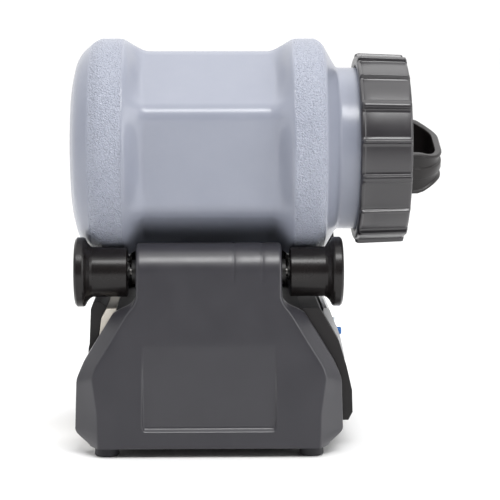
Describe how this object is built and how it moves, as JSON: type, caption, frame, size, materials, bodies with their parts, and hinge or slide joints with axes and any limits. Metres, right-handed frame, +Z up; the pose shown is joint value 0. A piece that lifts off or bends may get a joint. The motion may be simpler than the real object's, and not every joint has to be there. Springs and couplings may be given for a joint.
{
  "type": "rotary drum tumbler",
  "caption": "Bench-top rotary tumbler: a faceted drum with a ribbed screw-on lid ring lies across four flanged rollers above a motor base.",
  "frame": {"origin": "middle of the footprint's bounding box, on the floor the feet stand on", "axes": "+X along the drum towards its cap, +Y away from the near side cover towards the far one, +Z up"},
  "size_m": [0.319, 0.211, 0.345],
  "materials": {
    "drum_rubber": "moulded light grey, satin, pebbled bands",
    "lid_plastic": "moulded dark grey, satin",
    "ring_plastic": "moulded dark grey, satin",
    "seal_rubber": "matt black",
    "shaft_steel": "ground, oil blackened",
    "roller_rubber": "smooth matt black-brown",
    "fixing_steel": "zinc plated",
    "bushing_plastic": "self-lubricating dark plastic",
    "cover_plastic": "fine-grained dark grey",
    "housing_plastic": "fine-grained dark grey",
    "plate_steel": "black zinc",
    "foot_rubber": "matt black",
    "trim_plastic": "warm light grey satin",
    "dark_plastic": "dark satin",
    "face_plastic": "white gloss",
    "button_plastic": "blue gloss",
    "button_dark": "dark blue gloss",
    "board_plastic": "green laminate",
    "lens_glass": "clear",
    "motor_paint": "dark enamel",
    "motor_alloy": "die cast",
    "rotor_iron": "varnished laminations",
    "belt_rubber": "matt black"
  },
  "bodies": {
    "base": {"near_side_cover": "cover_plastic", "far_side_cover": "cover_plastic", "base_housing": "housing_plastic", "bottom_plate": "plate_steel", "feet": "foot_rubber", "foot_screws": "fixing_steel", "rear_panel": "trim_plastic", "rear_louvre": "dark_plastic", "control_housing": "dark_plastic", "faceplate": "face_plastic", "control_board": "board_plastic", "indicator_lens": "lens_glass", "cord_gland": "seal_rubber", "motor_can": "motor_paint", "motor_end_cap": "motor_alloy", "motor_bracket": "plate_steel", "motor_screws": "fixing_steel", "bracket_screws": "fixing_steel", "drive_belt": "belt_rubber", "near_bushings": "bushing_plastic", "far_bushings": "bushing_plastic"},
    "near_roller_shaft": {"near_shaft": "shaft_steel", "near_rollers": "roller_rubber", "near_clips": "fixing_steel", "near_washers": "bushing_plastic"},
    "far_roller_shaft": {"far_shaft": "shaft_steel", "far_rollers": "roller_rubber", "far_clips": "fixing_steel", "far_washers": "bushing_plastic", "driven_pulley": "motor_alloy"},
    "motor_rotating": {"motor_shaft": "shaft_steel", "motor_rotor": "rotor_iron", "motor_pulley": "motor_alloy", "cooling_fan": "dark_plastic"},
    "drum": {"drum_shell": "drum_rubber"},
    "lid": {"lid_disc": "lid_plastic", "lid_gasket": "seal_rubber"},
    "ring": {"lock_ring": "ring_plastic"},
    "power_key": {"power_button": "button_plastic"},
    "timer_key": {"timer_button": "button_dark"}
  },
  "joints": [
    {"name": "drum_spin", "type": "hinge", "parent": "base", "child": "drum", "pos_m": [-0.042, 0, 0.25], "axis": [1, 0, 0], "continuous": true},
    {"name": "near_roller_spin", "type": "hinge", "parent": "base", "child": "near_roller_shaft", "pos_m": [-0.042, -0.0595, 0.15007], "axis": [1, 0, 0], "continuous": true},
    {"name": "far_roller_spin", "type": "hinge", "parent": "base", "child": "far_roller_shaft", "pos_m": [-0.042, 0.0595, 0.15007], "axis": [1, 0, 0], "continuous": true},
    {"name": "motor_spin", "type": "hinge", "parent": "base", "child": "motor_rotating", "pos_m": [-0.042, 0.042, 0.05], "axis": [1, 0, 0], "continuous": true},
    {"name": "lid_slide", "type": "slide", "parent": "drum", "child": "lid", "axis": [1, 0, 0], "range_m": [0, 0.04]},
    {"name": "ring_turn", "type": "hinge", "parent": "lid", "child": "ring", "pos_m": [0.108, 0, 0.25], "axis": [1, 0, 0], "range_deg": [0, 1200]},
    {"name": "power_press", "type": "slide", "parent": "base", "child": "power_key", "axis": [-1, 0, 0], "range_m": [0, 0.002], "stiffness_N_per_m": 600},
    {"name": "timer_press", "type": "slide", "parent": "base", "child": "timer_key", "axis": [-1, 0, 0], "range_m": [0, 0.002], "stiffness_N_per_m": 600}
  ],
  "couplings": [
    {"joint": "near_roller_spin", "follows": "drum_spin", "ratio": -4.5238},
    {"joint": "far_roller_spin", "follows": "drum_spin", "ratio": -4.5238},
    {"joint": "motor_spin", "follows": "drum_spin", "ratio": -8.4821},
    {"joint": "ring_turn", "follows": "lid_slide", "rad_per_m": 523.6}
  ]
}
